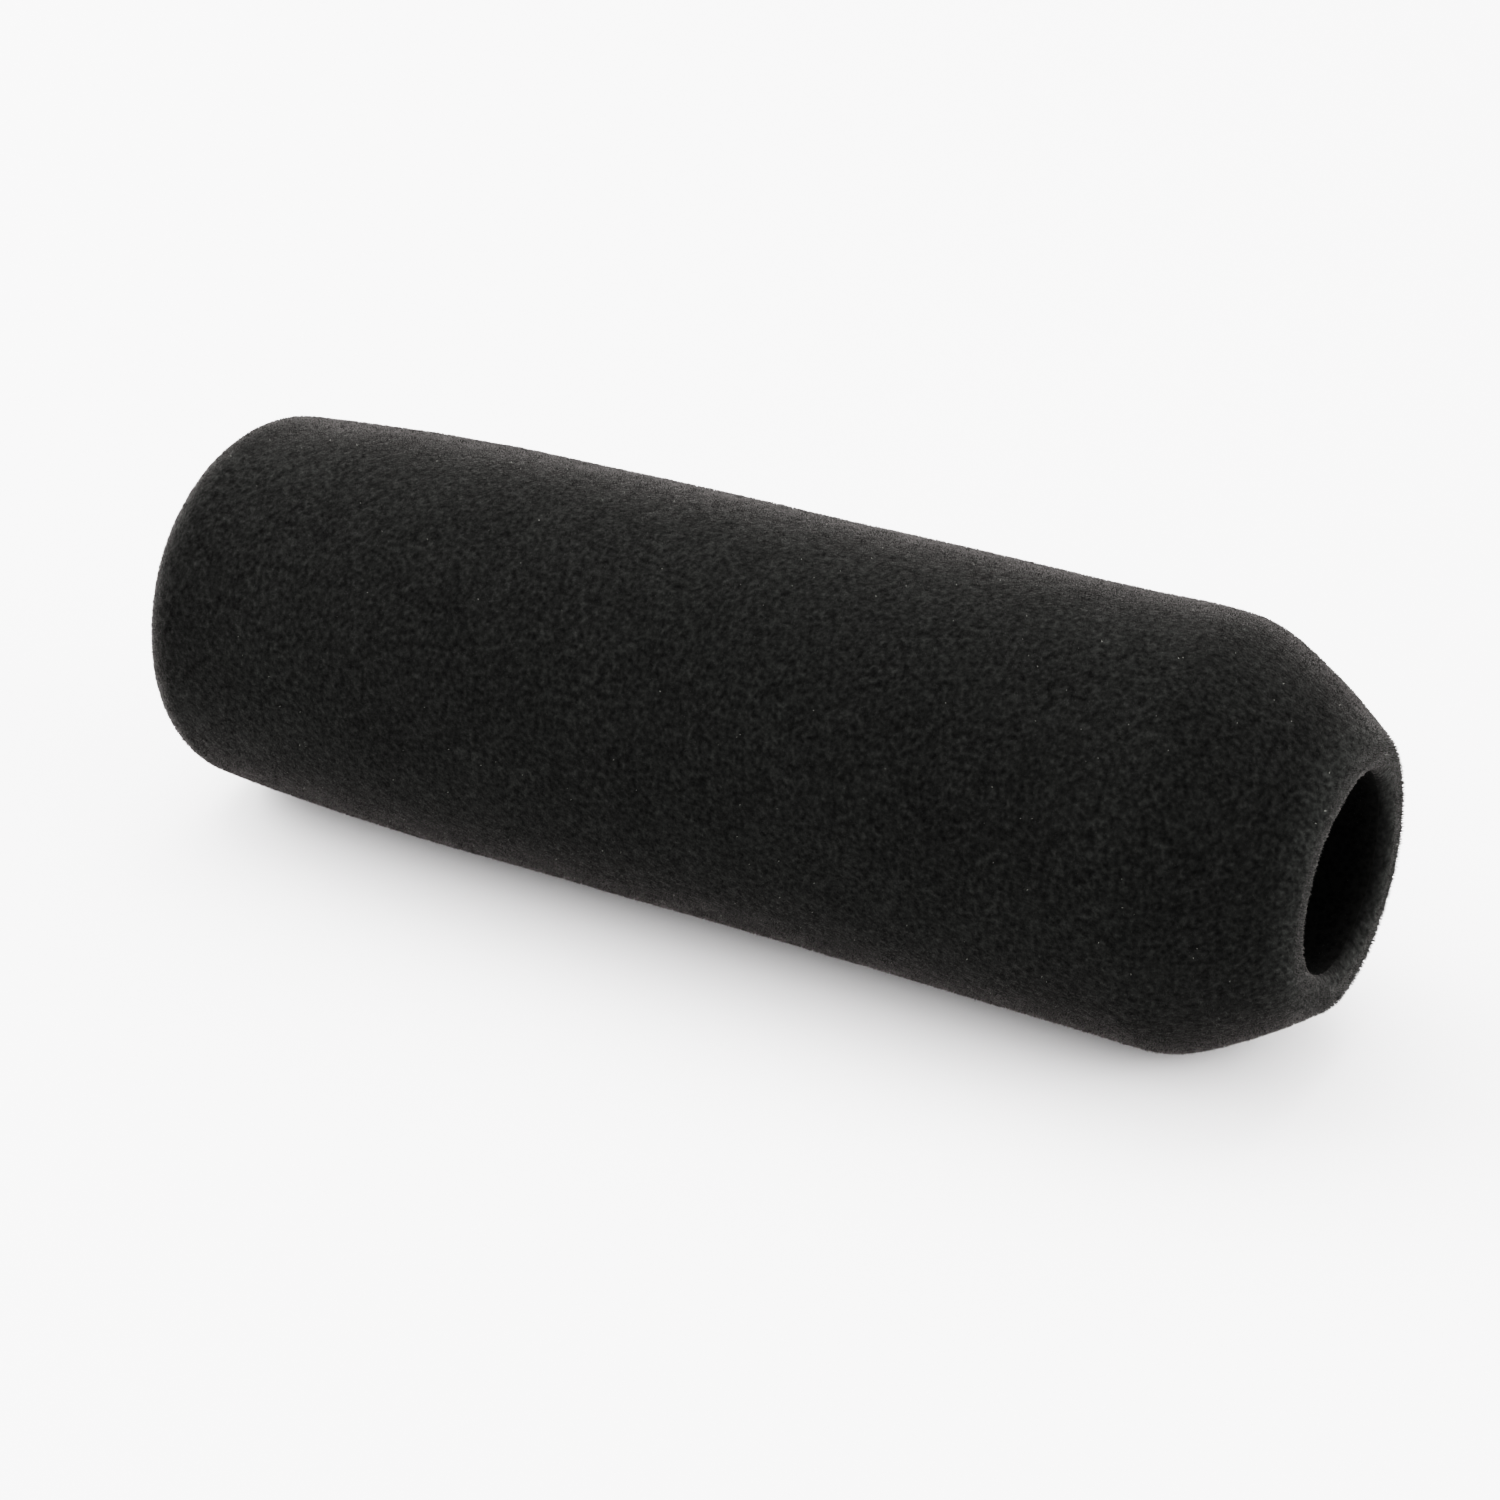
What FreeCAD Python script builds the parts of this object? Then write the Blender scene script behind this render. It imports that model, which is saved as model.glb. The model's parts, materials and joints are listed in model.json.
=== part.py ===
# Slip-on foam microphone windscreen with a short flocked pile.
#
# Frame: +X runs along the microphone bore and points out of its open mouth, +Z is up.
# The origin is the centre of the bore where its straight wall begins, just inside the rear lip.
# The windscreen lies on its side, so its lowest line is at z = -barrel_radius.
#
# The piece is a body of revolution about X. Its skin, from nose (-X) to tail (+X), is: a shallow
# dome, a corner, a very gentle taper, a straight barrel, a soft shoulder, a crowned rear cone,
# the outer lip, a narrow flat rear face and the inner lip that rolls into the bore.
# The foam body, the flocking adhesive film and the flock pile share that skin at three depths.

import FreeCAD, Part
import math
import os

import Sketcher

DIMENSIONS = [  # alias, value (mm or degrees), what it is
    ("barrel_radius", 21.0, "outside radius of the straight barrel, over the pile"),
    ("barrel_length", 72.4, "length of the straight barrel"),
    ("taper_radius", 418.0, "radius of the gentle side taper towards the nose"),
    ("taper_angle", 4.6, "angle that the side taper turns through"),
    ("corner_radius", 5.4, "radius of the nose corner"),
    ("dome_radius", 47.0, "radius of the shallow nose dome"),
    ("shoulder_radius", 9.8, "radius of the shoulder where the rear cone starts"),
    ("shoulder_angle", 26.5, "angle that the shoulder turns through"),
    ("cone_radius", 56.6, "crown radius of the rear cone"),
    ("cone_angle", 12.2, "angle that the crowned cone turns through"),
    ("outer_lip_radius", 1.55, "radius of the outer lip at the rear face"),
    ("inner_lip_radius", 1.2, "radius of the inner lip that rolls into the bore"),
    ("bore_radius", 9.5, "radius of the microphone bore"),
    ("bore_length", 108.0, "depth of the bore from the start of its straight wall"),
    ("bore_end_radius", 2.5, "radius in the corner of the blind end"),
    ("pile_depth", 0.6, "depth of the flock pile"),
    ("film_thickness", 0.15, "thickness of the flocking adhesive film"),
]
SIZE = {alias: value for alias, value, _ in DIMENSIONS}

# Layer boundaries: depth under the pile tips, and the same depth as an expression on the sheet.
PILE_TIPS = (0.0, "0")
PILE_ROOTS = (SIZE["pile_depth"], "Params.pile_depth")
FOAM_SURFACE = (
    SIZE["pile_depth"] + SIZE["film_thickness"],
    "Params.pile_depth + Params.film_thickness",
)

# Sketcher's codes for the points of an edge, and for the sketch's own axis and origin.
START, END, CENTRE = 1, 2, 3
X_AXIS = -1
ORIGIN = (-1, START)
QUARTER = math.pi / 2

doc = FreeCAD.newDocument("windscreen")
sheet = doc.addObject("Spreadsheet::Sheet", "Params")
for row, (alias, value, note) in enumerate(DIMENSIONS, start=1):
    sheet.set("A%d" % row, alias)
    sheet.set("B%d" % row, repr(value))
    sheet.set("C%d" % row, note)
    sheet.setAlias("B%d" % row, alias)
doc.recompute()


def skin_arcs():
    """The arcs at the pile tips: radius, centre x and y, start and end angle counter-clockwise.

    A deeper skin keeps the centres and angles and only has smaller radii."""
    dome_radius, corner_radius = SIZE["dome_radius"], SIZE["corner_radius"]
    taper_radius, barrel_radius = SIZE["taper_radius"], SIZE["barrel_radius"]
    shoulder_radius, cone_radius = SIZE["shoulder_radius"], SIZE["cone_radius"]
    outer_radius, inner_radius = SIZE["outer_lip_radius"], SIZE["inner_lip_radius"]
    taper_turn = math.radians(SIZE["taper_angle"])
    shoulder_turn = math.radians(SIZE["shoulder_angle"])
    rear_turn = shoulder_turn + math.radians(SIZE["cone_angle"])

    # Along X, from the rear face forwards to the barrel.
    outer_x = inner_radius - outer_radius
    cone_x = outer_x - (cone_radius - outer_radius) * math.sin(rear_turn)
    shoulder_x = cone_x + (cone_radius - shoulder_radius) * math.sin(shoulder_turn)
    # Across, from the barrel inwards to the rear face.
    shoulder_y = barrel_radius - shoulder_radius
    cone_y = shoulder_y - (cone_radius - shoulder_radius) * math.cos(shoulder_turn)
    outer_y = cone_y + (cone_radius - outer_radius) * math.cos(rear_turn)
    # From the barrel to the nose.
    taper_x = shoulder_x - SIZE["barrel_length"]
    taper_y = barrel_radius - taper_radius
    corner_x = taper_x - (taper_radius - corner_radius) * math.sin(taper_turn)
    corner_y = taper_y + (taper_radius - corner_radius) * math.cos(taper_turn)
    dome_x = corner_x + math.sqrt((dome_radius - corner_radius) ** 2 - corner_y ** 2)
    dome_start = math.pi - math.atan2(corner_y, dome_x - corner_x)

    return {
        "dome": (dome_radius, dome_x, 0.0, dome_start, math.pi),
        "corner": (corner_radius, corner_x, corner_y, QUARTER + taper_turn, dome_start),
        "taper": (taper_radius, taper_x, taper_y, QUARTER, QUARTER + taper_turn),
        "shoulder": (shoulder_radius, shoulder_x, shoulder_y, QUARTER - shoulder_turn, QUARTER),
        "cone": (cone_radius, cone_x, cone_y, QUARTER - rear_turn, QUARTER - shoulder_turn),
        "outer_lip": (outer_radius, outer_x, outer_y, 0.0, QUARTER - rear_turn),
        "inner_lip": (inner_radius, 0.0, SIZE["bore_radius"] + inner_radius, -QUARTER, 0.0),
    }


ARCS = skin_arcs()


def add_arc(sketch, radius, x, y, start_angle, end_angle):
    circle = Part.Circle(FreeCAD.Vector(x, y, 0), FreeCAD.Vector(0, 0, 1), radius)
    return sketch.addGeometry(Part.ArcOfCircle(circle, start_angle, end_angle), False)


def add_line(sketch, start, end):
    segment = Part.LineSegment(FreeCAD.Vector(*start, 0), FreeCAD.Vector(*end, 0))
    return sketch.addGeometry(segment, False)


def constrain(sketch, constraints):
    for constraint in constraints:
        sketch.addConstraint(Sketcher.Constraint(*constraint))


def dimension(sketch, kind, places, value, expression):
    """Adds a dimension and binds it to the sheet."""
    index = sketch.addConstraint(Sketcher.Constraint(kind, *places, value))
    sketch.setExpression("Constraints[%d]" % index, expression)


def draw_skin(sketch, boundary):
    """Draws the skin at a layer boundary, from the nose tip on the axis to the inner lip's end.

    Returns the ids of the dome and inner lip, and the points where the skin starts and ends."""
    depth, expression = boundary
    less_depth = " - (%s)" % expression

    def skin_arc(name):
        radius, *rest = ARCS[name]
        return add_arc(sketch, radius - depth, *rest)

    barrel_y = SIZE["barrel_radius"] - depth
    face_x = SIZE["inner_lip_radius"] - depth
    lip_end_y = SIZE["bore_radius"] + depth

    dome, corner, taper = [skin_arc(name) for name in ("dome", "corner", "taper")]
    barrel = add_line(sketch, (ARCS["taper"][1], barrel_y), (ARCS["shoulder"][1], barrel_y))
    shoulder, cone, outer_lip = [skin_arc(name) for name in ("shoulder", "cone", "outer_lip")]
    face = add_line(sketch, (face_x, ARCS["outer_lip"][2]), (face_x, ARCS["inner_lip"][2]))
    inner_lip = skin_arc("inner_lip")

    # Each arc runs counter-clockwise, so going from nose to rear face it is entered at its end.
    constrain(sketch, [
        ("Tangent", dome, START, corner, END),
        ("Tangent", corner, START, taper, END),
        ("Tangent", taper, START, barrel, START),
        ("Horizontal", barrel),
        ("Tangent", barrel, END, shoulder, END),
        ("Tangent", shoulder, START, cone, END),
        ("Tangent", cone, START, outer_lip, END),
        ("Tangent", outer_lip, START, face, START),
        ("Vertical", face),
        ("Tangent", face, END, inner_lip, END),
        ("PointOnObject", dome, CENTRE, X_AXIS),
        ("PointOnObject", dome, END, X_AXIS),
        ("Vertical", inner_lip, START, inner_lip, CENTRE),
    ])
    arc_ids = (dome, corner, taper, shoulder, cone, outer_lip, inner_lip)
    for name, arc in zip(ARCS, arc_ids):
        alias = name + "_radius"
        dimension(sketch, "Radius", (arc,), SIZE[alias] - depth, "Params." + alias + less_depth)
    for alias, arc in (("taper_angle", taper), ("shoulder_angle", shoulder), ("cone_angle", cone)):
        turn = math.radians(SIZE[alias])
        dimension(sketch, "Angle", (arc,), turn, "Params.%s * 1 deg" % alias)
    dimension(sketch, "DistanceX", (barrel, START, barrel, END),
              SIZE["barrel_length"], "Params.barrel_length")
    dimension(sketch, "DistanceY", (*ORIGIN, barrel, END),
              barrel_y, "Params.barrel_radius" + less_depth)
    dimension(sketch, "DistanceX", (*ORIGIN, face, START),
              face_x, "Params.inner_lip_radius" + less_depth)
    dimension(sketch, "DistanceY", (*ORIGIN, inner_lip, START),
              lip_end_y, "Params.bore_radius + (%s)" % expression)

    nose_tip = (ARCS["dome"][1] - (SIZE["dome_radius"] - depth), 0.0)
    return dome, inner_lip, nose_tip, (0.0, lip_end_y)


def new_body(label):
    """A body with an empty sketch on its own XY plane."""
    body = doc.addObject("PartDesign::Body", label)
    body.Label = label
    sketch = body.newObject("Sketcher::SketchObject", label + "_profile")
    plane = next(item for item in body.Origin.OriginFeatures if item.Role == "XY_Plane")
    sketch.AttachmentSupport = [(plane, "")]
    sketch.MapMode = "FlatFace"
    return body, sketch


def revolve(body, sketch):
    """Turns the profile once round the bore axis."""
    feature = body.newObject("PartDesign::Revolution", body.Label + "_revolve")
    feature.Profile = sketch
    feature.ReferenceAxis = (sketch, ["H_Axis"])
    feature.Angle = 360
    body.Tip = feature
    return body


def make_layer(label, outer_boundary, inner_boundary):
    """A layer between two depths, closed on the axis at the nose and by a ring at the mouth."""
    body, sketch = new_body(label)
    outer_dome, outer_end, outer_tip, outer_end_point = draw_skin(sketch, outer_boundary)
    inner_dome, inner_end, inner_tip, inner_end_point = draw_skin(sketch, inner_boundary)
    ring = add_line(sketch, outer_end_point, inner_end_point)
    axis = add_line(sketch, inner_tip, outer_tip)
    constrain(sketch, [
        ("Coincident", ring, START, outer_end, START),
        ("Coincident", ring, END, inner_end, START),
        ("Coincident", axis, START, inner_dome, END),
        ("Coincident", axis, END, outer_dome, END),
    ])
    return revolve(body, sketch)


def make_foam():
    """The foam: its skin, a small step at the mouth that pile and film fill, and a blind bore."""
    body, sketch = new_body("foam_body")
    dome, inner_lip, nose_tip, lip_end = draw_skin(sketch, FOAM_SURFACE)
    floor_x = -SIZE["bore_length"]
    wall_y = SIZE["bore_radius"]
    end_radius = SIZE["bore_end_radius"]
    corner_x = floor_x + end_radius
    corner_y = wall_y - end_radius

    step = add_line(sketch, lip_end, (0.0, wall_y))
    wall = add_line(sketch, (0.0, wall_y), (corner_x, wall_y))
    corner = add_arc(sketch, end_radius, corner_x, corner_y, QUARTER, math.pi)
    floor = add_line(sketch, (floor_x, corner_y), (floor_x, 0.0))
    axis = add_line(sketch, (floor_x, 0.0), nose_tip)
    constrain(sketch, [
        ("Coincident", step, START, inner_lip, START),
        ("Vertical", step),
        ("Coincident", wall, START, step, END),
        ("Horizontal", wall),
        ("Tangent", wall, END, corner, START),
        ("Tangent", corner, END, floor, START),
        ("Vertical", floor),
        ("Coincident", axis, START, floor, END),
        ("Coincident", axis, END, dome, END),
        ("PointOnObject", floor, END, X_AXIS),
    ])
    dimension(sketch, "DistanceY", (*ORIGIN, wall, START), wall_y, "Params.bore_radius")
    dimension(sketch, "DistanceX", (floor, END, *ORIGIN),
              SIZE["bore_length"], "Params.bore_length")
    dimension(sketch, "Radius", (corner,), end_radius, "Params.bore_end_radius")
    return revolve(body, sketch)


bodies = [
    make_foam(),
    # The thin film bonded to the foam, which holds the pile's roots.
    make_layer("flock_adhesive", PILE_ROOTS, FOAM_SURFACE),
    # Short upright fibres over the nose, barrel, rear cone and both lips.
    make_layer("flock_pile", PILE_TIPS, PILE_ROOTS),
]
doc.recompute()

failed = [item.Name for item in doc.Objects if "Invalid" in item.State or "Error" in item.State]
if failed:
    raise SystemExit("failed objects: %s" % failed)

os.makedirs("parts", exist_ok=True)
for body in bodies:
    shape = body.Shape
    if shape.isNull() or not shape.isValid() or len(shape.Solids) != 1:
        raise SystemExit("bad shape: %s" % body.Label)
    shape.exportStep(os.path.join("parts", body.Label + ".step"))
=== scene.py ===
# A flocked foam microphone windscreen: foam body, adhesive film, and a pile of felted roots and
# fibres. It lies along X, with its domed nose towards -X and the mouth of its bore at x = 0, and
# rests on the floor at z = -BARREL_R. Lengths are in millimetres until a mesh is made; the scene
# is in metres.
import json
import math
from collections import namedtuple
from itertools import product

import bpy
import numpy as np
from mathutils import Matrix, Vector


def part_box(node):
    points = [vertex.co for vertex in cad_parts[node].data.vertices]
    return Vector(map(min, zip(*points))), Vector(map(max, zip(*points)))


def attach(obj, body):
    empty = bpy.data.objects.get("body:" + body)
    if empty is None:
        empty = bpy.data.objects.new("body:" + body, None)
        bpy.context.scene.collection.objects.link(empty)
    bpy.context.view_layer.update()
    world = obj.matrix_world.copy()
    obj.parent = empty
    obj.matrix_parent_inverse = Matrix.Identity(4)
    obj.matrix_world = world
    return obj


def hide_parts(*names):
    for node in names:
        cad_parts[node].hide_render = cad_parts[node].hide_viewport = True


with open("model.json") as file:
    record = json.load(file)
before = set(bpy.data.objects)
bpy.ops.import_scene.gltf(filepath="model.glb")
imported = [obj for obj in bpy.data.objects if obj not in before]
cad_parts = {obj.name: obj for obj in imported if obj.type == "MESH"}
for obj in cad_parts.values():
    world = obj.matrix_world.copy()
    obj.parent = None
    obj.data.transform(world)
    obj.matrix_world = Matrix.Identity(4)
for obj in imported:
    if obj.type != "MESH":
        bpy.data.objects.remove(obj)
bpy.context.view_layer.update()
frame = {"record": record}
RNG = np.random.default_rng(20261)
MM = 0.001
QUARTER = math.pi / 2

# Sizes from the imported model
pile_low, pile_high = [1000 * np.array(v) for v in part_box("flock_pile")]
film_high = 1000 * np.array(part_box("flock_adhesive")[1])
foam_high = 1000 * np.array(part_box("foam_body")[1])
mic_bore = [m for m in frame["record"]["mounts"] if m["name"] == "mic_bore"][0]["dims"]
BARREL_R = round((pile_high[2] - pile_low[2]) / 2, 1)
PILE_T = round(pile_high[0] - film_high[0], 2)
FILM_T = round(film_high[0] - foam_high[0], 2)
BORE_END_R = 2.5  # rounding of the bore's blind end
BORE_R, BORE_LEN = mic_bore["r_mm"], mic_bore["length_mm"] + BORE_END_R

# The profile's arcs: radii, and the angles that some of them turn through
DOME_R = 47.0
CORNER_R = 5.4
TAPER_R, TAPER_DEG = 418.0, 4.6
SHOULDER_R, SHOULDER_DEG = 9.8, 26.5
CONE_R, CONE_DEG = 56.6, 12.2
LIP_OUT_R, LIP_IN_R = 1.55, round(pile_high[0], 2)
BARREL_LEN = 72.4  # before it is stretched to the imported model's length, below


# --- Profile ---
def arcs(depth):
    """(centre x, centre r, radius, start angle, end angle) of each arc at a depth under the
    pile's tips, from the nose to the bore."""
    shoulder, taper = math.radians(SHOULDER_DEG), math.radians(TAPER_DEG)
    cone_end = math.radians(SHOULDER_DEG + CONE_DEG)
    lip_x = LIP_IN_R - LIP_OUT_R
    cone_x = lip_x - (CONE_R - LIP_OUT_R) * math.sin(cone_end)
    shoulder_x = cone_x + (CONE_R - SHOULDER_R) * math.sin(shoulder)
    shoulder_r = BARREL_R - SHOULDER_R
    cone_r = shoulder_r - (CONE_R - SHOULDER_R) * math.cos(shoulder)
    lip_r = cone_r + (CONE_R - LIP_OUT_R) * math.cos(cone_end)
    taper_x, taper_r = shoulder_x - BARREL_LEN, BARREL_R - TAPER_R
    corner_x = taper_x - (TAPER_R - CORNER_R) * math.sin(taper)
    corner_r = taper_r + (TAPER_R - CORNER_R) * math.cos(taper)
    dome_x = corner_x + math.sqrt((DOME_R - CORNER_R) ** 2 - corner_r**2)
    dome = math.atan2(corner_r, dome_x - corner_x)
    return [
        (dome_x, 0.0, DOME_R - depth, math.pi, math.pi - dome),
        (corner_x, corner_r, CORNER_R - depth, math.pi - dome, QUARTER + taper),
        (taper_x, taper_r, TAPER_R - depth, QUARTER + taper, QUARTER),
        (shoulder_x, shoulder_r, SHOULDER_R - depth, QUARTER, QUARTER - shoulder),
        (cone_x, cone_r, CONE_R - depth, QUARTER - shoulder, QUARTER - cone_end),
        (lip_x, lip_r, LIP_OUT_R - depth, QUARTER - cone_end, 0.0),
        (0.0, BORE_R + LIP_IN_R, LIP_IN_R - depth, 0.0, -QUARTER),
    ]


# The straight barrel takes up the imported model's length.
BARREL_LEN += round(arcs(0)[0][0] - DOME_R - pile_low[0], 2)
BARREL_X0 = arcs(0)[2][0]


def outer_curve(depth, step=0.05):
    """A dense polyline of the profile at a depth: columns x, r, normal x, normal r."""
    rows = []
    for centre_x, centre_r, radius, start, end in arcs(depth):
        count = max(8, int(abs(end - start) * radius / step))
        a = np.linspace(start, end, count)
        cos, sin = np.cos(a), np.sin(a)
        rows.append(np.c_[centre_x + radius * cos, centre_r + radius * sin, cos, sin])
    return np.vstack(rows)


def steps_of(curve):
    return np.hypot(*np.diff(curve[:, :2], axis=0).T)


def length_of(curve):
    return float(steps_of(curve).sum())


def by_length(curve, lengths):
    """Rows of the curve at the given lengths along it."""
    along = np.r_[0, np.cumsum(steps_of(curve))]
    keep = np.r_[True, np.diff(along) > 1e-9]
    along, curve = along[keep], curve[keep]
    out = np.stack([np.interp(lengths, along, curve[:, i]) for i in range(4)], 1)
    out[:, 2:] /= np.linalg.norm(out[:, 2:], axis=1)[:, None]
    return out


# --- Seeded noise ---
def hash01(cell, seed):
    """A repeatable value from 0 to 1 for each row of whole numbers."""
    c = cell.astype(np.int64).astype(np.uint32)
    v = (
        c[:, 0] * np.uint32(73856093)
        ^ c[:, 1] * np.uint32(19349663)
        ^ c[:, 2] * np.uint32(83492791)
        ^ np.uint32((seed * 2654435761) & 0xFFFFFFFF)
    )
    v ^= v >> np.uint32(16)
    v *= np.uint32(0x7FEB352D)
    v ^= v >> np.uint32(15)
    v *= np.uint32(0x846CA68B)
    v ^= v >> np.uint32(16)
    return v.astype(np.float64) / 4294967296.0


def value_noise(points, size, seed):
    """Smooth noise from -1 to 1 with lumps about size mm across."""
    scaled = points / size + 1000.0
    cell = np.floor(scaled)
    f = scaled - cell
    f = f * f * f * (f * (f * 6 - 15) + 10)
    out = 0.0
    for corner in product((0, 1), repeat=3):
        w = np.where(corner, f, 1 - f)
        out = out + w[:, 0] * w[:, 1] * w[:, 2] * hash01(cell + corner, seed)
    return out * 2 - 1


def cells(points, size, seed):
    """Distances to the nearest and second nearest cell centres, in cell sizes, and the nearest
    cell's own value."""
    scaled = points / size + 1000.0
    base = np.floor(scaled)
    first, second = np.full(len(points), 9.0), np.full(len(points), 9.0)
    own = np.zeros(len(points))
    for offset in product((-1, 0, 1), repeat=3):
        cell = base + offset
        x, y, z = [cell[:, i] + hash01(cell, seed + i) - scaled[:, i] for i in range(3)]
        distance = np.sqrt(x * x + y * y + z * z)
        nearer = distance < first
        second = np.where(nearer, first, np.minimum(second, distance))
        own = np.where(nearer, hash01(cell, seed + 3), own)
        first = np.where(nearer, distance, first)
    return first, second, own


def smooth(f):
    """Smoothstep from 0 to 1."""
    f = np.clip(f, 0, 1)
    return f * f * (3 - 2 * f)


# --- The foam isn't perfectly true ---
# A slight bow along the barrel towards BOW_SIDE, and a mouth skewed along X per mm off the axis.
BOW = 0.64
BOW_SIDE = np.array([0.0, 0.528382, 0.849007])
CROSS_SIDE = np.array([0.0, -BOW_SIDE[2], BOW_SIDE[1]])
BOW_SKEW, CROSS_SKEW = -0.0176, -0.0450
SKEW_LEAD, SKEW_SPAN = 1.2, 1.5  # start before the barrel's end, and length, in barrel radii
# One side of the shoulder is a little fuller: height, centre and spreads.
FULL_HEIGHT, FULL_X, FULL_X_SPREAD = 0.26, -16.6, 5.0
FULL_SIDE, FULL_SPREAD = np.array([math.cos(1.15), math.sin(1.15)]), 0.62  # spread in radians
FULL_FROM_R, FULL_FADE = 12, 7
# The mouth gapes outwards and its rim waves along X: mm, degrees about the axis, spread.
MOUTH_GAPE = ((0.36, 38.0, 26.0), (-0.14, 84.0, 24.0), (0.46, 250.0, 32.0))
MOUTH_WAVE = ((0.36, 72.0, 20.0), (0.42, 108.0, 32.0), (-0.46, 204.0, 34.0))
MOUTH_DEPTH, MOUTH_FADE = 8, 7  # where these begin behind x = 0, and how soon they are full
GAPE_TO_R, GAPE_FADE = 13.8, 3.1
WAVE_TO_R, WAVE_FADE = 16.0, 4.5


def around(degrees, peaks):
    """The sum of bell-shaped peaks about the axis."""
    return sum(
        height * np.exp(-((((degrees - at + 180) % 360 - 180) / spread) ** 2))
        for height, at, spread in peaks
    )


def untrue(p):
    """Points moved as the real foam is: all layers use it, so they stay nested."""
    along = p[:, 0] - BARREL_X0
    f = along / BARREL_LEN
    moved = p + (BOW * f * (1 - f))[:, None] * BOW_SIDE
    skewed = smooth((along - (BARREL_LEN - SKEW_LEAD * BARREL_R)) / (SKEW_SPAN * BARREL_R))
    moved[:, 0] += skewed * (BOW_SKEW * (p @ BOW_SIDE) + CROSS_SKEW * (p @ CROSS_SIDE))
    r = np.maximum(np.hypot(p[:, 1], p[:, 2]), 1e-6)
    off = np.arccos(np.clip(p[:, 1:] @ FULL_SIDE / r, -1, 1)) / FULL_SPREAD
    bulge = FULL_HEIGHT * np.exp(-(((p[:, 0] - FULL_X) / FULL_X_SPREAD) ** 2) - off**2)
    outward = bulge * np.clip((r - FULL_FROM_R) / FULL_FADE, 0, 1)
    degrees = np.degrees(np.arctan2(p[:, 2], p[:, 1])) % 360
    near = smooth((p[:, 0] + MOUTH_DEPTH) / MOUTH_FADE)
    wave = around(degrees, MOUTH_WAVE) * near
    moved[:, 0] += wave * np.clip((WAVE_TO_R - r) / WAVE_FADE, 0, 1)
    gape = around(degrees, MOUTH_GAPE) * near
    outward = outward + gape * np.clip((GAPE_TO_R - r) / GAPE_FADE, 0, 1)
    moved[:, 1:] += (outward / r)[:, None] * p[:, 1:]
    return moved


def floor_clear(p, gap):
    """Nothing reaches below the floor: what rests on it is pressed flat."""
    q = p.copy()
    q[:, 2] = np.maximum(q[:, 2], -BARREL_R + gap)
    return q


# --- Meshes of revolution with even triangles ---
# A shell's rings are three lists: first point, point count, and turn of the first point.
Shell = namedtuple("Shell", "points normals triangles rings")
LAYER_ROW_GAP, LAYER_POINT_GAP = 1.5, 1.6  # of the surfaces hidden between layers


def swept(axial, radial, angle):
    """Vectors turned about X from their axial and radial parts."""
    x = np.broadcast_to(axial, angle.shape)
    return np.c_[x, radial * np.cos(angle), radial * np.sin(angle)]


def zip_rings(a, a_count, a_phase, b, b_count, b_phase):
    """Triangles between two rings of different counts, or from a lone point to a ring."""
    if a_count == 1:
        return [(a, b + (j + 1) % b_count, b + j) for j in range(b_count)]
    out, i, j = [], 0, 0
    while i < a_count or j < b_count:
        a_next, b_next = a_phase + (i + 1) / a_count, b_phase + (j + 1) / b_count
        if j >= b_count or (i < a_count and a_next <= b_next):
            out.append((a + i % a_count, a + (i + 1) % a_count, b + j % b_count))
            i += 1
        else:
            out.append((a + i % a_count, b + (j + 1) % b_count, b + j % b_count))
            j += 1
    return out


def lathe(profile, spacing):
    """A shell from a profile (x, r, normal x, normal r) that starts on the axis."""
    spacing = np.broadcast_to(spacing, len(profile))
    points, normals, rings, at = [], [], [], 0
    for i, (x, r, normal_x, normal_r) in enumerate(profile):
        count = 1 if r < 1e-6 else max(6, int(round(2 * math.pi * r / spacing[i])))
        shift = 0.5 * (i % 2)
        angle = 2 * math.pi * ((np.arange(count) + shift) / count)
        points.append(swept(x, r, angle))
        normals.append(swept(normal_x, normal_r, angle))
        rings.append((at, count, shift / count))
        at += count
    triangles = []
    for ring, following in zip(rings, rings[1:]):
        triangles += zip_rings(*ring, *following)
    return Shell(
        np.vstack(points), np.vstack(normals), np.array(triangles, np.int64), list(zip(*rings))
    )


def layer(depth, row_gap=LAYER_ROW_GAP, point_gap=LAYER_POINT_GAP):
    """The profile's shell at a depth, its points' lengths along the profile, and the total."""
    curve = outer_curve(depth)
    total = length_of(curve)
    lengths = np.linspace(0, total, int(total / row_gap) + 1)
    profile = by_length(curve, lengths)
    profile[0, 1] = 0
    shell = lathe(profile, point_gap)
    return shell, np.repeat(lengths, shell.rings[1]), total


def closed(outer, inner):
    """Points and outward triangles of an outer and an inner shell, joined at their last rings."""
    p = np.vstack([outer.points, inner.points])
    at = len(outer.points)
    a, a_count, a_phase = [column[-1] for column in outer.rings]
    b, b_count, b_phase = [column[-1] for column in inner.rings]
    seam = np.array(zip_rings(a, a_count, a_phase, at + b, b_count, b_phase), np.int64)
    tri = np.vstack([outer.triangles, inner.triangles[:, ::-1] + at, seam])
    a, b, c = p[tri[:, 0]], p[tri[:, 1]], p[tri[:, 2]]
    outward = np.einsum("ij,ij->", a, np.cross(b, c)) > 0
    return p, tri if outward else tri[:, ::-1]


def vertex_normals(p, tri):
    face = np.cross(p[tri[:, 1]] - p[tri[:, 0]], p[tri[:, 2]] - p[tri[:, 0]])
    n = np.zeros_like(p)
    for k in range(3):
        for axis in range(3):
            n[:, axis] += np.bincount(tri[:, k], weights=face[:, axis], minlength=len(p))
    return n / np.maximum(np.linalg.norm(n, axis=1), 1e-12)[:, None]


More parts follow.
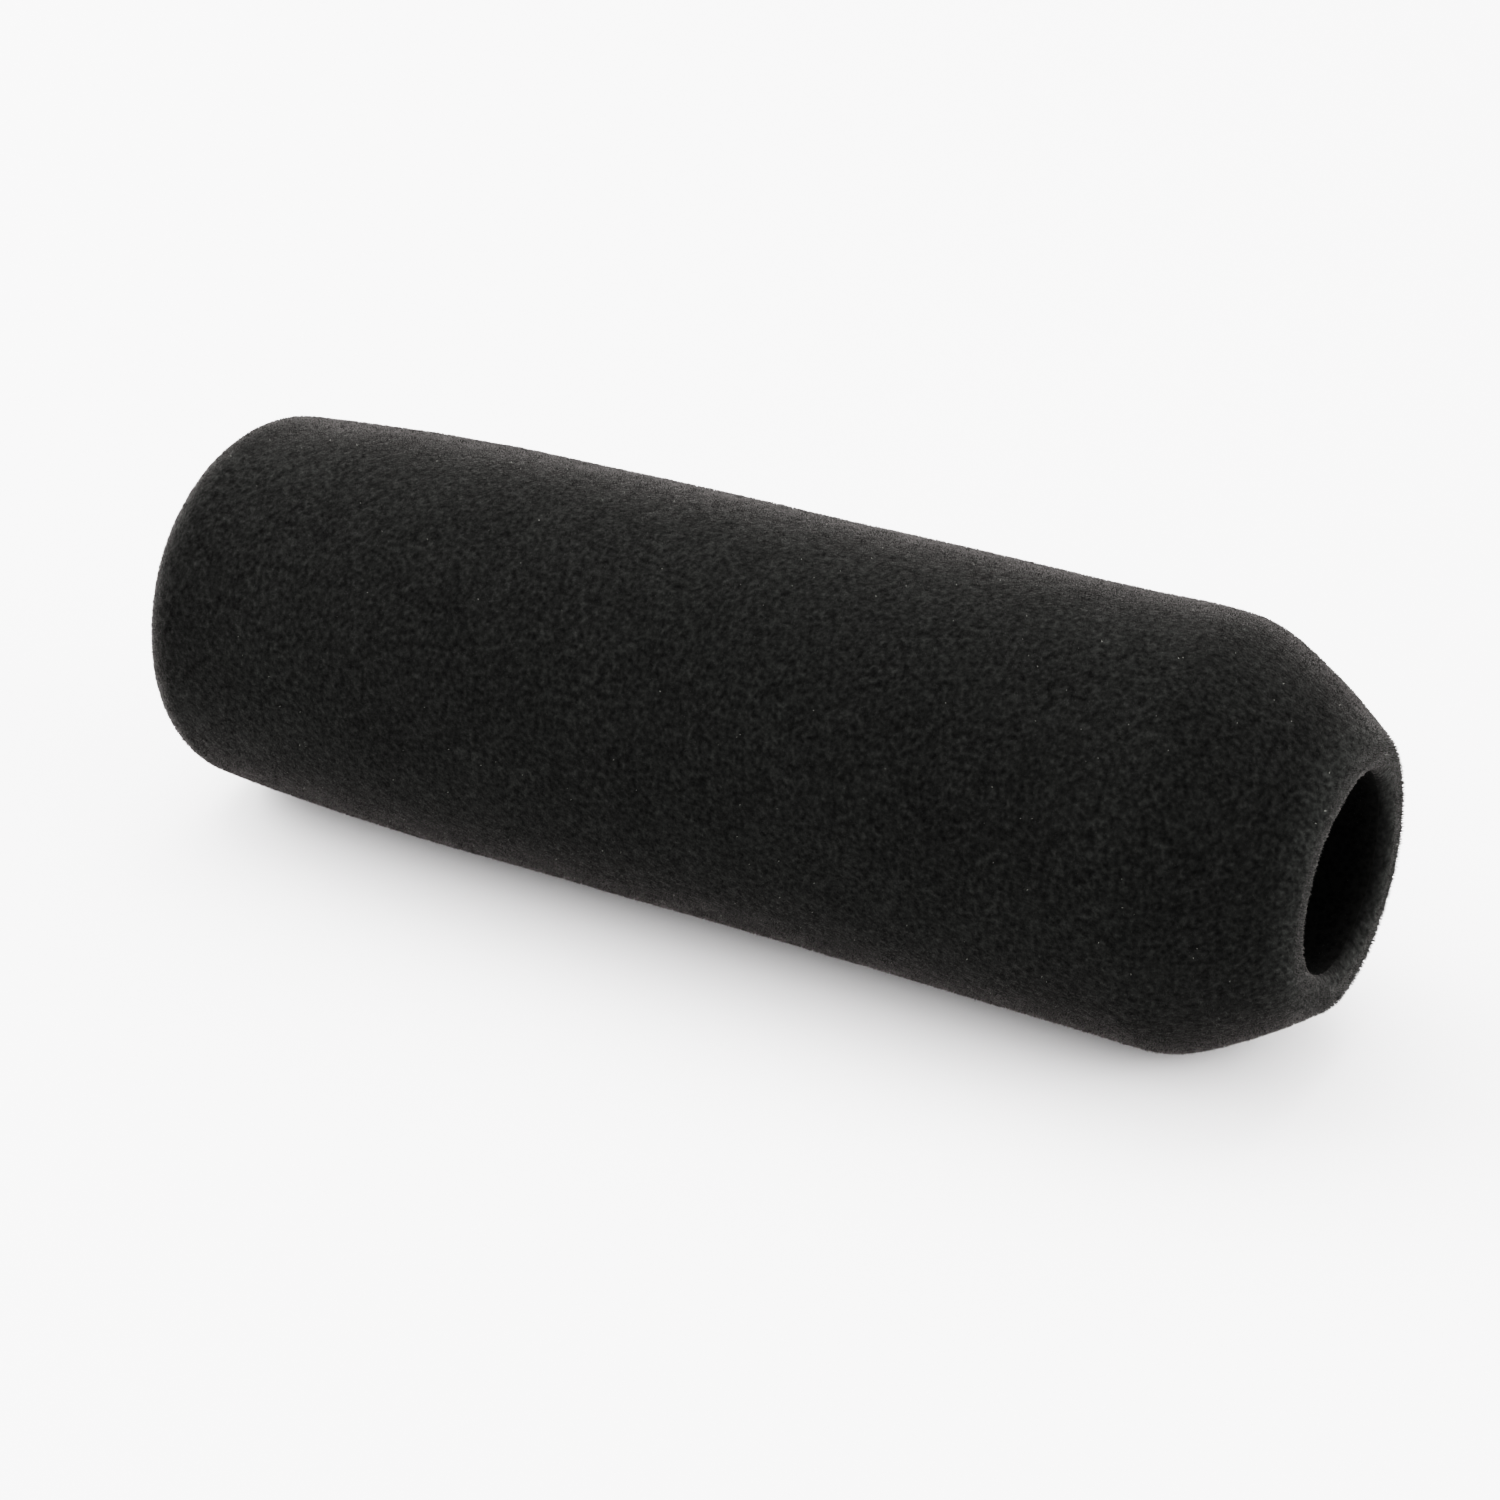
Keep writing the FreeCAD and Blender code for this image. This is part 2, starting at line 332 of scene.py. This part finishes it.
def turned_uv(p, tri, v):
    """UV per corner: the turn about X across, v up, the seam's triangles carried past 1."""
    u = ((np.arctan2(p[:, 2], p[:, 1]) / (2 * math.pi)) % 1.0)[tri]
    over = (u.max(1) - u.min(1)) > 0.5
    u[over] = np.where(u[over] < 0.5, u[over] + 1, u[over])
    # Scaled so that what passes 1 still fits within the map.
    return np.stack([u / 1.04 * 0.99 + 0.003, v[tri]], 2).reshape(-1, 2)


def make_object(name, p, tri, uv, tone=None, normals=None):
    me = bpy.data.meshes.new(name)
    me.vertices.add(len(p))
    me.vertices.foreach_set("co", (np.asarray(p) * MM).astype(np.float32).ravel())
    me.loops.add(len(tri) * 3)
    me.loops.foreach_set("vertex_index", np.asarray(tri, np.int32).ravel())
    me.polygons.add(len(tri))
    me.polygons.foreach_set("loop_start", np.arange(0, 3 * len(tri), 3, dtype=np.int32))
    me.update(calc_edges=True)
    me.polygons.foreach_set("use_smooth", np.full(len(tri), True))
    uv_map = me.uv_layers.new(name="OFBake")
    uv_map.data.foreach_set("uv", np.asarray(uv, np.float32).ravel())
    if tone is not None:
        attribute = me.attributes.new("tone", "FLOAT", "POINT")
        attribute.data.foreach_set("value", np.asarray(tone, np.float32))
    me.validate()
    if normals is not None:
        me.normals_split_custom_set_from_vertices(np.asarray(normals, np.float32))
    ob = bpy.data.objects.new(name, me)
    bpy.context.scene.collection.objects.link(ob)
    return ob


# --- Pile skin: the felted roots of the flock, over the foam's cells and slight lumps ---
SKIN_DEPTH = 0.06
SKIN_SPACING = 0.475
ROW_RATIO = 0.866  # height of an even triangle over its side
SKIN_FLOOR_GAP = 0.12
FOAM_CELL = 0.62
# Spans back along the profile from the bore wall
RELIEF_SPAN = 1.2  # the relief fades out over this
LIP_SPAN = 5.0  # the skin rises to the pile's full height, as the fibres thin out
ROLL_DIP, ROLL_AT, ROLL_SPREAD = 0.15, 0.95, 0.55  # drawn in where it rolls into the bore
EASE_LEAN, EASE_SPAN = 1.1, 1.7


def relief(p):
    """Height of the flocked surface over its true shape, and each point's cell value."""
    slow = 0.055 * value_noise(p, size=14.0, seed=11) + 0.03 * value_noise(p, size=5.0, seed=12)
    nearest, _, own = cells(p, FOAM_CELL, seed=21)
    fine = 0.085 * (0.55 - np.minimum(nearest, 1.0)) + 0.04 * (own - 0.5)
    fine = fine + 0.03 * value_noise(p, size=0.45, seed=31)
    return slow + fine, own


def level(left, span):
    """From 1 down to 0 over the last span mm of the profile, where it meets the bore wall."""
    return smooth(left / span)


def rise_of(height, left):
    """How far the skin stands off its nominal depth: even and full round the lip."""
    full = SKIN_DEPTH * (1 - level(left, LIP_SPAN))
    dip = ROLL_DIP * np.exp(-(((left - ROLL_AT) / ROLL_SPREAD) ** 2))
    return height * level(left, RELIEF_SPAN) + full - dip


def eased(n, left):
    """Shading normals leant along the axis near the bore, so that the rim doesn't glow where it
    is seen edge on."""
    q = n.copy()
    q[:, 0] += EASE_LEAN * (1 - level(left, EASE_SPAN))
    return q / np.linalg.norm(q, axis=1)[:, None]


def build_skin():
    outer, along, total = layer(SKIN_DEPTH, SKIN_SPACING * ROW_RATIO, SKIN_SPACING)
    left = total - along
    rise = rise_of(relief(outer.points)[0], left)
    outer = outer._replace(points=outer.points + outer.normals * rise[:, None])
    inner, inner_along, inner_total = layer(PILE_T)
    p, tri = closed(outer, inner)
    v = np.r_[along / total * 0.93, 0.95 + 0.05 * (inner_along / inner_total)]
    uv = turned_uv(p, tri, v)
    p = floor_clear(untrue(p), SKIN_FLOOR_GAP)
    # The inner side counts as far from the bore, so that its normals aren't eased.
    left = np.r_[left, np.full(len(inner.points), 99.0)]
    return make_object("pile_skin", p, tri, uv, normals=eased(vertex_normals(p, tri), left))


# --- Fibres: short tapered tufts on the skin, leaning together in small patches ---
FIBRE_SPACING = 0.236
ROW_TURN = 0.381966  # golden turn between rows, so that they don't line up
ROW_JITTER, TURN_JITTER = 1.5, 0.95  # in rows and in fibres
BORE_FLOCK = 4.5  # loose flock reaches this far into the bore, thinning out
BORE_THINNING = 1.3
ROOT_SUNK, BORE_ROOT_SUNK = 0.05, 0.09
FIBRE_PATCH = 0.6
LONG_SHARE, LONG_EXTRA, LONG_WIDTH = 0.03, 0.12, 0.038
FUZZ_AT, FUZZ_SPREAD = 3.4, 1.3  # before the bore wall: longer, finer, less even fibres
LIP_HEIGHT, LIP_HEIGHT_SPAN = 0.07, 2.2  # shortest where the skin meets the bore
HEIGHT_LIMITS = (0.06, 0.6)
MAX_TONE, PALE_SHARE = 0.89, 0.0012  # usual limit of tone, and share of pale fibres at 1
PIECES = ("nose", "front", "front_middle", "middle", "rear_middle", "rear", "tail")
# Corners 0 to 2 are the root and 3 is the tip; the faces look outwards.
FIBRE_FACES = np.array([[0, 1, 3], [1, 2, 3], [2, 0, 3], [0, 2, 1]])


def fibre_field():
    """Where each fibre stands: length along the profile, its total, place, normal, tangent."""
    curve = outer_curve(SKIN_DEPTH)
    total = length_of(curve)
    rows = int(total / FIBRE_SPACING)
    row_at = (np.arange(rows) + 0.5) * total / rows
    row_r = by_length(curve, row_at)[:, 1]
    count = np.maximum(1, np.round(2 * math.pi * row_r / FIBRE_SPACING)).astype(int)
    row = np.repeat(np.arange(rows), count)
    k = np.arange(len(row)) - np.repeat(np.cumsum(count) - count, count)
    along = row_at[row] + (RNG.random(len(row)) - 0.5) * total / rows * ROW_JITTER
    along = np.clip(along, 0.02, total - 0.05)
    jitter = RNG.random(len(row)) * TURN_JITTER
    angle = 2 * math.pi * ((k + jitter) / count[row] + ROW_TURN * row)
    x, r, normal_x, normal_r = by_length(curve, along).T
    # Stray fibres just inside the bore, fewer and fewer inwards.
    strays = int(2 * math.pi * BORE_R * BORE_FLOCK / FIBRE_SPACING**2)
    inward, turn = RNG.random(strays) * BORE_FLOCK, RNG.random(strays) * 2 * math.pi
    keep = RNG.random(strays) < (1 - inward / BORE_FLOCK) ** BORE_THINNING
    inward, turn = inward[keep], turn[keep]
    return (
        np.r_[along, total + inward],
        total,
        np.vstack([swept(x, r, angle), swept(-inward, BORE_R, turn)]),
        np.vstack([swept(normal_x, normal_r, angle), swept(0.0, -1.0, turn)]),
        np.vstack([swept(-normal_r, normal_x, angle), swept(1.0, 0.0, turn)]),
    )


def fibre_lean(p, own, own_factor, seed):
    """Neighbours over one foam cell lean the same way, and each fibre has its own small tilt."""
    by_cell = 0.38 * ((own * own_factor) % 1 - 0.5)
    by_patch = 0.26 * value_noise(p, FIBRE_PATCH, seed)
    by_area = 0.15 * value_noise(p, size=3.0, seed=seed + 1)
    return by_cell + by_patch + by_area + RNG.normal(0, 0.12, len(p))


def fibre_uv(count):
    """One triangle in each cell of a square grid for every fibre, shared by its four faces."""
    grid = int(math.ceil(math.sqrt(count)))
    cell = np.c_[np.arange(count) % grid, np.arange(count) // grid]
    corner = np.array([[0.06, 0.06], [0.94, 0.06], [0.5, 0.94]])
    uv = (cell[:, None, None, :] + corner[None, None]) / grid
    return uv.repeat(4, axis=1).reshape(-1, 2)


def build_fibres():
    along, total, p, normal, tangent = fibre_field()
    m = len(along)
    height, own = relief(p)
    left = total - along
    rise = rise_of(height, left) - ROOT_SUNK
    root = p + normal * np.where(left > 0, rise, -BORE_ROOT_SUNK)[:, None]
    lean_a = fibre_lean(p, own, own_factor=7.0, seed=41)
    lean_b = fibre_lean(p, own, own_factor=13.0, seed=43)
    d = normal + lean_a[:, None] * tangent + lean_b[:, None] * np.cross(normal, tangent)
    d /= np.linalg.norm(d, axis=1)[:, None]

    long_ones = RNG.random(m) < LONG_SHARE
    height = 0.24 + 0.04 * value_noise(p, FIBRE_PATCH, seed=45)
    height = height + RNG.normal(0, 0.025, m) + LONG_EXTRA * long_ones
    fuzzy = np.exp(-(((left - FUZZ_AT) / FUZZ_SPREAD) ** 2))
    height += (0.17 + 0.05 * RNG.normal(0, 1, m)) * fuzzy
    on_skin = LIP_HEIGHT + (height - LIP_HEIGHT) * level(left, LIP_HEIGHT_SPAN)
    height = np.where(left > 0, on_skin, 0.17 + RNG.normal(0, 0.03, m))
    width = np.where(long_ones, LONG_WIDTH, 0.066 + 0.018 * RNG.random(m)) * (1 - 0.25 * fuzzy)

    side = np.cross(d, tangent)
    side /= np.linalg.norm(side, axis=1)[:, None]
    other = np.cross(d, side)
    spin = RNG.random(m) * 2 * math.pi
    pts = np.empty((m, 4, 3))
    for k in range(3):
        a = spin + k * 2 * math.pi / 3
        out = np.cos(a)[:, None] * side + np.sin(a)[:, None] * other
        pts[:, k] = root + width[:, None] * out
    pts[:, 3] = root + d * np.clip(height, *HEIGHT_LIMITS)[:, None]

    # Each fibre's own small difference of shade. The patches come from the material.
    tone = np.clip(0.5 + RNG.normal(0, 0.18, m), 0.05, MAX_TONE)
    tone[RNG.random(m) < PALE_SHARE] = 1.0
    # A fibre is shaded mostly as the surface that it stands on, so the pile reads as one nap.
    shade = 0.72 * eased(normal, left) + 0.28 * d
    rounding = 0.45 * (pts - pts.mean(1, keepdims=True)) / 0.08
    shade = np.repeat(shade[:, None, :], 4, axis=1) + rounding
    shade /= np.linalg.norm(shade, axis=2)[:, :, None]

    cuts = [int(round(m * i / len(PIECES))) for i in range(len(PIECES) + 1)]
    order = np.argsort(along, kind="stable")
    made = []
    for name, start, end in zip(PIECES, cuts, cuts[1:]):
        pick = order[start:end]
        count = len(pick)
        q = floor_clear(untrue(pts[pick].reshape(-1, 3)), gap=0.0)
        tri = (FIBRE_FACES[None] + 4 * np.arange(count)[:, None, None]).reshape(-1, 3)
        tones, normals = np.repeat(tone[pick], 4), shade[pick].reshape(-1, 3)
        made.append(make_object("pile_fibres_" + name, q, tri, fibre_uv(count), tones, normals))
    return made


# --- Foam body: a closed form whose bore wall is cut through open cells ---
BORE_FLOOR_GAP = 0.7
# The bore's mesh grows finer towards the mouth: x, gap between rings, gap within a ring.
BORE_X = [-60, -36, -22, 0]
BORE_RING_GAP = [0.7, 0.55, 0.26, 0.24]
BORE_POINT_GAP = [0.8, 0.6, 0.30, 0.28]
PIT_DEPTH, LUMP_DEPTH = 0.20, 0.05
PIT_REACH, STRUT_WIDTH = 0.75, 0.2  # in cell sizes
CUT_FROM, CUT_FADE = 3.0, 4.0  # behind the mouth


def bore_profile():
    """From the blind end's centre out to the mouth."""
    end_x, corner_r = -BORE_LEN, BORE_R - BORE_END_R
    rows = [(end_x, r, 1.0, 0.0) for r in np.arange(0, corner_r, BORE_FLOOR_GAP)]
    for a in np.linspace(0, QUARTER, 7):
        cos, sin = math.cos(a), math.sin(a)
        x = end_x + BORE_END_R - BORE_END_R * cos
        rows.append((x, corner_r + BORE_END_R * sin, cos, -sin))
    x = end_x + BORE_END_R
    while x < -0.15:
        x = min(x + float(np.interp(x, BORE_X, BORE_RING_GAP)), 0.0)
        rows.append((x, BORE_R, 0.0, -1.0))
    rows.append((0.0, BORE_R, 0.0, -1.0))
    return np.array(rows, float)


def build_foam():
    outer, along, total = layer(PILE_T + FILM_T)
    profile = bore_profile()
    bore = lathe(profile, np.interp(profile[:, 0], BORE_X, BORE_POINT_GAP))
    b = bore.points
    nearest, second, _ = cells(b, FOAM_CELL, seed=61)
    pit = np.clip(1 - nearest / PIT_REACH, 0, 1)
    wall = np.clip((second - nearest) / STRUT_WIDTH, 0, 1)
    fade = np.clip((-b[:, 0] - CUT_FROM) / CUT_FADE, 0, 1)
    lumps = LUMP_DEPTH * value_noise(b, size=6.0, seed=62) * fade
    cut = PIT_DEPTH * pit * wall * fade + lumps
    b = b - bore.normals * cut[:, None]
    p, tri = closed(outer, bore._replace(points=b))
    # The bore's tone is darker in the cell pits: painted shade where the cut sinks.
    tone = np.r_[np.full(len(outer.points), 0.5), 1 - pit * wall]
    v = np.r_[0.02 * (along / total), 0.03 + 0.96 * (b[:, 0] + BORE_LEN) / BORE_LEN]
    return make_object("foam_core", untrue(p), tri, turned_uv(p, tri, v), tone)


# --- Adhesive film between foam and pile ---
FILM_CLEARANCE = 0.012  # from its neighbours, which have the same points


def build_film():
    shells, v = [], []
    for depth, move in ((PILE_T, -FILM_CLEARANCE), (PILE_T + FILM_T, FILM_CLEARANCE)):
        shell, along, total = layer(depth)
        shells.append(shell._replace(points=shell.points + shell.normals * move))
        v.append(along / total * 0.48)
    p, tri = closed(*shells)
    uv = turned_uv(p, tri, np.r_[v[0], 0.5 + v[1]])
    return make_object("flock_glue_film", untrue(p), tri, uv)


# --- Materials ---
class Nodes:
    """A material with a Principled shader, and helpers that add nodes to it."""

    def __init__(self, name):
        self.mat = bpy.data.materials.new(name)
        self.mat.use_nodes = True
        self.tree = self.mat.node_tree
        self.tree.nodes.clear()
        output = self.add("ShaderNodeOutputMaterial")
        self.bsdf = self.add("ShaderNodeBsdfPrincipled")
        self.link(self.bsdf.outputs[0], output.inputs["Surface"])

    def add(self, kind, **settings):
        node = self.tree.nodes.new(kind)
        for key, value in settings.items():
            setattr(node, key, value)
        return node

    def link(self, a, b):
        self.tree.links.new(a, b)

    def set(self, **values):
        for key, value in values.items():
            self.bsdf.inputs[key.replace("_", " ")].default_value = value

    def colour(self, output):
        self.link(output, self.bsdf.inputs["Base Color"])

    def millimetres(self):
        """Object coordinates in millimetres."""
        coordinates = self.add("ShaderNodeTexCoord")
        mapping = self.add("ShaderNodeMapping")
        mapping.inputs["Scale"].default_value = (1000, 1000, 1000)
        self.link(coordinates.outputs["Object"], mapping.inputs["Vector"])
        return mapping.outputs["Vector"]

    def xyz(self, at):
        node = self.add("ShaderNodeSeparateXYZ")
        self.link(at, node.inputs[0])
        return [node.outputs[axis] for axis in "XYZ"]

    def noise(self, at, size, detail=2.0):
        node = self.add("ShaderNodeTexNoise")
        node.inputs["Scale"].default_value = 1.0 / size
        node.inputs["Detail"].default_value = detail
        node.inputs["Roughness"].default_value = 0.5
        self.link(at, node.inputs["Vector"])
        return node.outputs["Fac"]

    def voronoi(self, at, size):
        node = self.add("ShaderNodeTexVoronoi")
        node.inputs["Scale"].default_value = 1.0 / size
        self.link(at, node.inputs["Vector"])
        return node.outputs["Distance"]

    def maths(self, operation, *values, clamp=False):
        node = self.add("ShaderNodeMath", operation=operation, use_clamp=clamp)
        for i, value in enumerate(values):
            if isinstance(value, (int, float)):
                node.inputs[i].default_value = value
            else:
                self.link(value, node.inputs[i])
        return node.outputs[0]

    def smoothstep(self, value, start, end, low=0.0, high=1.0):
        node = self.add("ShaderNodeMapRange", interpolation_type="SMOOTHSTEP")
        self.link(value, node.inputs["Value"])
        limits = {"From Min": start, "From Max": end, "To Min": low, "To Max": high}
        for key, limit in limits.items():
            node.inputs[key].default_value = limit
        return node.outputs["Result"]

    def ramp(self, factor, stops):
        node = self.add("ShaderNodeValToRGB")
        elements = node.color_ramp.elements
        while len(elements) < len(stops):
            elements.new(0.5)
        for element, (position, colour) in zip(elements, stops):
            element.position = position
            element.color = (*colour, 1)
        self.link(factor, node.inputs["Fac"])
        return node.outputs["Color"]

    def bump(self, height, strength, distance):
        node = self.add("ShaderNodeBump")
        node.inputs["Strength"].default_value = strength
        node.inputs["Distance"].default_value = distance
        self.link(height, node.inputs["Height"])
        self.link(node.outputs["Normal"], self.bsdf.inputs["Normal"])


SHEEN_TINT = (1.0, 0.93, 0.92, 1)
# Painted light on the lip: a painted highlight makes the outer lip paler, and painted shade makes
# it darker where it rolls into the bore.
LIP_PAINTED_LIGHT_X = (-2.4, 1.1)
LIP_PAINTED_LIGHT_R = (BORE_R - 0.1, BORE_R + 1.15)
LIP_PAINTED_SHADE, LIP_PAINTED_HIGHLIGHT = -0.52, 0.74


def grey(value, warm=0.0):
    """Near-neutral black dye: a trace of green, which the warm sheen evens out."""
    return (value * (0.97 + warm), value, value * (0.955 - warm))


def mottle(n, at):
    """Patches a few fibres across, 0 to 1: the same for the fibres and the roots under them."""
    fine = n.noise(at, size=0.56, detail=1.2)
    slow = n.noise(at, size=11.0)
    fine_share, slow_share = 0.88, 0.12
    return n.maths("MULTIPLY_ADD", slow, slow_share, n.maths("MULTIPLY", fine, fine_share))


def lip_painted_light(n, at, colour):
    """The colour with painted light on the lip: a painted highlight outside, painted shade where
    it rolls into the bore.
    """
    x, y, z = n.xyz(at)
    lip = n.smoothstep(x, *LIP_PAINTED_LIGHT_X)
    r = n.maths("SQRT", n.maths("MULTIPLY_ADD", y, y, n.maths("MULTIPLY", z, z)))
    gain = n.smoothstep(r, *LIP_PAINTED_LIGHT_R, low=LIP_PAINTED_SHADE, high=LIP_PAINTED_HIGHLIGHT)
    scale = n.add("ShaderNodeVectorMath", operation="SCALE")
    n.link(colour, scale.inputs[0])
    n.link(n.maths("MULTIPLY_ADD", gain, lip, 1.0), scale.inputs["Scale"])
    return scale.outputs[0]


def skin_material():
    """Felted flock roots: near-black, mottled by small cells, with a velvet sheen."""
    n = Nodes("flock_roots")
    at = n.millimetres()
    cell = n.voronoi(at, size=0.40)
    # Painted shade: each cell's colour darkens towards its edges, where the bump sinks into
    # grooves.
    painted_cell_edge_shade, lighten = -0.10, 0.04
    f = n.maths("MULTIPLY_ADD", cell, painted_cell_edge_shade, n.maths("ADD", mottle(n, at), lighten))
    stops = [
        (0.22, grey(0.0043)),
        (0.50, grey(0.0117)),
        (0.62, grey(0.0154)),
        (0.82, grey(0.0222)),
    ]
    # The lip's colour carries painted light: a painted highlight on the outer lip, painted shade
    # where it rolls into the bore.
    n.colour(lip_painted_light(n, at, n.ramp(f, stops)))
    n.set(Roughness=0.95, Specular_IOR_Level=0.05)
    n.set(Sheen_Weight=0.132, Sheen_Roughness=0.36, Sheen_Tint=SHEEN_TINT)
    grain_height, cell_height = 0.5, -0.8
    grain = n.maths("MULTIPLY", n.noise(at, size=0.22), grain_height)
    height = n.maths("ADD", grain, n.maths("MULTIPLY", cell, cell_height))
    n.bump(height, strength=0.55, distance=0.00010)
    return n.mat


def fibre_material():
    """Nylon flock fibres: near-black, in patches, each with its own shade."""
    n = Nodes("flock_fibre")
    at = n.millimetres()
    tone = n.add("ShaderNodeAttribute", attribute_name="tone").outputs["Fac"]
    # Only the few fibres toned over this are pale.
    pale_over, pale_gain = 0.9, 4.5
    pale = n.maths("MULTIPLY", n.maths("SUBTRACT", tone, pale_over, clamp=True), pale_gain)
    middle_tone, tone_share = 0.5, 0.35
    patches = mottle(n, at)
    own = n.maths("SUBTRACT", n.maths("MINIMUM", tone, MAX_TONE), middle_tone)
    f = n.maths("ADD", patches, n.maths("MULTIPLY", own, tone_share))
    f = n.maths("ADD", f, pale, clamp=True)
    stops = [
        (0.20, grey(0.0041)),
        (0.50, grey(0.0130)),
        (0.62, grey(0.0173)),
        (0.82, grey(0.0252)),
        (1.0, grey(0.10, warm=0.02)),
    ]
    # The lip's colour carries painted light: a painted highlight on the outer lip, painted shade
    # where it rolls into the bore.
    n.colour(lip_painted_light(n, at, n.ramp(f, stops)))
    n.set(Roughness=0.8, Specular_IOR_Level=0.07)
    n.set(Sheen_Weight=0.165, Sheen_Roughness=0.36, Sheen_Tint=SHEEN_TINT)
    return n.mat


def foam_material():
    """Open-cell foam: matt black struts round cells darkened with painted shade."""
    n = Nodes("foam_open_cell")
    at = n.millimetres()
    tone = n.add("ShaderNodeAttribute", attribute_name="tone").outputs["Fac"]
    grain_share, tone_share = 0.35, 0.75
    grain = n.noise(at, size=0.3)
    f = n.maths("MULTIPLY_ADD", grain, grain_share, n.maths("MULTIPLY", tone, tone_share))
    # Painted light: the bore wall is paler over the last millimetres before the mouth, in painted
    # shade further in.
    painted_mouth_light = n.smoothstep(n.xyz(at)[0], start=-2.0, end=1.2)
    painted_light_share, foam_share = 0.45, 0.55
    f = n.maths("MULTIPLY_ADD", painted_mouth_light, painted_light_share, n.maths("MULTIPLY", f, foam_share))
    stops = [
        (0.10, grey(0.0005)),
        (0.33, grey(0.0017)),
        (0.55, grey(0.0052, warm=0.02)),
        (0.95, grey(0.014, warm=0.02)),
    ]
    n.colour(n.ramp(f, stops))
    n.set(Roughness=0.95, Specular_IOR_Level=0.03, Sheen_Weight=0.015, Sheen_Roughness=0.5)
    n.bump(n.noise(at, size=0.12), strength=0.4, distance=0.00005)
    return n.mat


def film_material():
    """Flexible adhesive film: dark, slightly rubbery, uneven."""
    n = Nodes("flock_adhesive_film")
    f = n.noise(n.millimetres(), size=0.8, detail=3.0)
    n.colour(n.ramp(f, [(0.3, grey(0.004)), (0.7, grey(0.010))]))
    n.set(Roughness=0.5, Specular_IOR_Level=0.4)
    n.bump(f, strength=0.5, distance=0.00008)
    return n.mat


def floor_material():
    n = Nodes("pale_floor")
    f = n.noise(n.millimetres(), size=260.0)
    n.colour(n.ramp(f, [(0.3, (0.86, 0.86, 0.862)), (0.7, (0.875, 0.875, 0.876))]))
    n.set(Roughness=0.7, Specular_IOR_Level=0.2)
    return n.mat


# --- Build ---
def fit(ob, material, replaced):
    ob.data.materials.append(material)
    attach(ob, "root")
    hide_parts(replaced)


fit(build_skin(), skin_material(), "flock_pile")
fibre = fibre_material()
for piece in build_fibres():
    fit(piece, fibre, "flock_pile")
fit(build_foam(), foam_material(), "foam_body")
fit(build_film(), film_material(), "flock_adhesive")

# --- Stage, in metres ---
LIGHT_TARGET = Vector((-0.05, 0, 0))
# Name, place, size, power in watts
SOFTBOXES = (
    ("overhead", (-0.36, 0.33, 1.08), (1.2, 0.9), 16.8),
    ("left_fill", (-1.0, -0.15, 0.45), (0.8, 0.8), 14.5),
    ("right_fill", (0.95, 0.15, 0.45), (0.8, 0.8), 7.6),
    ("front_fill", (0.25, -1.0, 0.6), (0.9, 0.7), 2.0),
)
CAMERA_AT = Vector((0.0835073, -0.2615797, 0.1587999))
CAMERA_RIGHT = Vector((0.873342, 0.487108, 0.0))
CAMERA_UP = Vector((-0.232617, 0.417061, 0.878606))
CAMERA_BACK = Vector((0.427976, -0.767324, 0.477547))


def add_floor():
    bpy.ops.mesh.primitive_circle_add(
        vertices=128, radius=6.0, fill_type="NGON", location=(0, 0, -BARREL_R * MM)
    )
    floor = bpy.context.object
    floor.name = "floor"
    floor.data.materials.append(floor_material())


def add_world():
    world = bpy.data.worlds.new("studio")
    bpy.context.scene.world = world
    world.use_nodes = True
    background = world.node_tree.nodes["Background"]
    background.inputs["Color"].default_value = (1.0, 0.982, 0.988, 1)
    background.inputs["Strength"].default_value = 1.80


def add_softbox(name, location, size, power):
    light = bpy.data.lights.new(name, "AREA")
    light.shape = "RECTANGLE"
    light.size, light.size_y = size
    light.energy = power
    ob = bpy.data.objects.new(name, light)
    ob.location = location
    ob.rotation_euler = (LIGHT_TARGET - Vector(location)).to_track_quat("-Z", "Y").to_euler()
    bpy.context.scene.collection.objects.link(ob)


def add_camera():
    camera = bpy.data.objects.new("camera", bpy.data.cameras.new("camera"))
    bpy.context.scene.collection.objects.link(camera)
    turn = Matrix((CAMERA_RIGHT, CAMERA_UP, CAMERA_BACK)).transposed()
    camera.matrix_world = Matrix.Translation(CAMERA_AT) @ turn.to_4x4()
    camera.data.sensor_width = 36.0
    camera.data.lens = 81.1636
    camera.data.clip_start, camera.data.clip_end = 0.01, 30.0
    bpy.context.scene.camera = camera


add_floor()
add_world()
for softbox in SOFTBOXES:
    add_softbox(*softbox)
bpy.context.scene.view_settings.view_transform = "Filmic"
bpy.context.scene.view_settings.look = "Very High Contrast"
add_camera()
